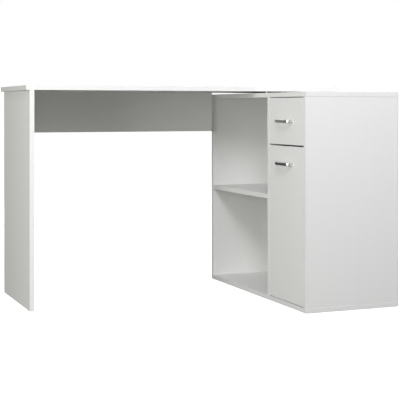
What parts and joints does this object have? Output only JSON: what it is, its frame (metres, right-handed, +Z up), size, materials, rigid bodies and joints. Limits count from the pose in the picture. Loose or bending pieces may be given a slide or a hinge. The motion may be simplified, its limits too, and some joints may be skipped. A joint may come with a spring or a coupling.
{
  "type": "corner desk",
  "caption": "White corner desk: desktop on a side panel, and a storage cabinet with drawer, door and open bays that swivels under it.",
  "frame": {"origin": "on the floor below the middle of the desk's outline in the corner position", "axes": "+X along the desktop from the side panel to the cabinet, +Y from the sitting side to the back, +Z up"},
  "size_m": [1.192, 0.803, 0.75],
  "materials": {
    "white_board": "white melamine foil on chipboard, satin, fine pressed grain",
    "hardboard": "thin white lacquered hardboard, matt",
    "beech_dowel": "bare fluted beech",
    "zinc_fitting": "bright zinc plate",
    "runner_enamel": "white epoxy powder coat",
    "handle_chrome": "polished chrome plate",
    "white_plastic": "moulded white nylon, matt"
  },
  "bodies": {
    "desk_frame": {"desktop": "white_board", "left_panel": "white_board", "modesty_panel": "white_board", "frame_cam_housings": "zinc_fitting", "frame_cam_bolts": "zinc_fitting", "frame_dowels": "beech_dowel", "desktop_glide_studs": "white_plastic", "left_panel_floor_glides": "white_plastic", "pivot_plate": "zinc_fitting", "pivot_plate_screws": "zinc_fitting", "pivot_bolt": "zinc_fitting", "thrust_washer": "white_plastic", "pivot_lower_washer": "zinc_fitting", "pivot_lock_nut": "zinc_fitting"},
    "cabinet": {"cabinet_top": "white_board", "cabinet_bottom": "white_board", "near_end_panel": "white_board", "divider_panel": "white_board", "far_end_panel": "white_board", "back_panel": "hardboard", "back_panel_nails": "zinc_fitting", "shelf": "white_board", "shelf_pins": "zinc_fitting", "cabinet_top_screws": "zinc_fitting", "cabinet_top_screw_caps": "white_plastic", "cabinet_bottom_screws": "zinc_fitting", "cabinet_dowels": "beech_dowel", "cabinet_floor_glides": "white_plastic", "pivot_bushing": "white_plastic", "cabinet_runner_near": "runner_enamel", "cabinet_runner_far": "runner_enamel", "cabinet_runner_screws": "zinc_fitting", "front_roller_rivets": "zinc_fitting", "hinge_mounting_plates": "zinc_fitting", "hinge_arms": "zinc_fitting", "hinge_plate_screws": "zinc_fitting"},
    "front_roller_pair": {"front_rollers": "white_plastic"},
    "drawer": {"drawer_front": "white_board", "drawer_side_near": "white_board", "drawer_side_far": "white_board", "drawer_back": "white_board", "drawer_bottom": "hardboard", "drawer_bottom_nails": "zinc_fitting", "drawer_back_screws": "zinc_fitting", "drawer_cam_housings": "zinc_fitting", "drawer_cam_bolts": "zinc_fitting", "drawer_handle": "handle_chrome", "drawer_handle_screws": "zinc_fitting", "drawer_runner_near": "runner_enamel", "drawer_runner_far": "runner_enamel", "drawer_runner_screws": "zinc_fitting", "rear_roller_rivets": "zinc_fitting"},
    "rear_roller_pair": {"rear_rollers": "white_plastic"},
    "door": {"door": "white_board", "hinge_cups": "zinc_fitting", "hinge_links": "zinc_fitting", "hinge_cup_screws": "zinc_fitting", "door_handle": "handle_chrome", "door_handle_screws": "zinc_fitting"}
  },
  "joints": [
    {"name": "cabinet_swivel", "type": "hinge", "parent": "desk_frame", "child": "cabinet", "pos_m": [0.514, 0.3195, 0.72], "axis": [0, 0, 1], "range_deg": [0, 90]},
    {"name": "drawer_slide", "type": "slide", "parent": "cabinet", "child": "drawer", "axis": [-1, 0, 0], "range_m": [0, 0.23]},
    {"name": "front_roller_spin", "type": "hinge", "parent": "cabinet", "child": "front_roller_pair", "pos_m": [0.274, -0.256, 0.5703], "axis": [0, -1, 0], "range_deg": [-10, 1770]},
    {"name": "rear_roller_spin", "type": "hinge", "parent": "drawer", "child": "rear_roller_pair", "pos_m": [0.55, -0.256, 0.5709], "axis": [0, -1, 0], "range_deg": [-10, 1550]},
    {"name": "door_hinge", "type": "hinge", "parent": "cabinet", "child": "door", "pos_m": [0.244, -0.3823, 0.28], "axis": [0, 0, 1], "range_deg": [0, 105]}
  ],
  "couplings": [
    {"joint": "front_roller_spin", "follows": "drawer_slide", "rad_per_m": 133.33},
    {"joint": "rear_roller_spin", "follows": "drawer_slide", "rad_per_m": 116.28}
  ]
}
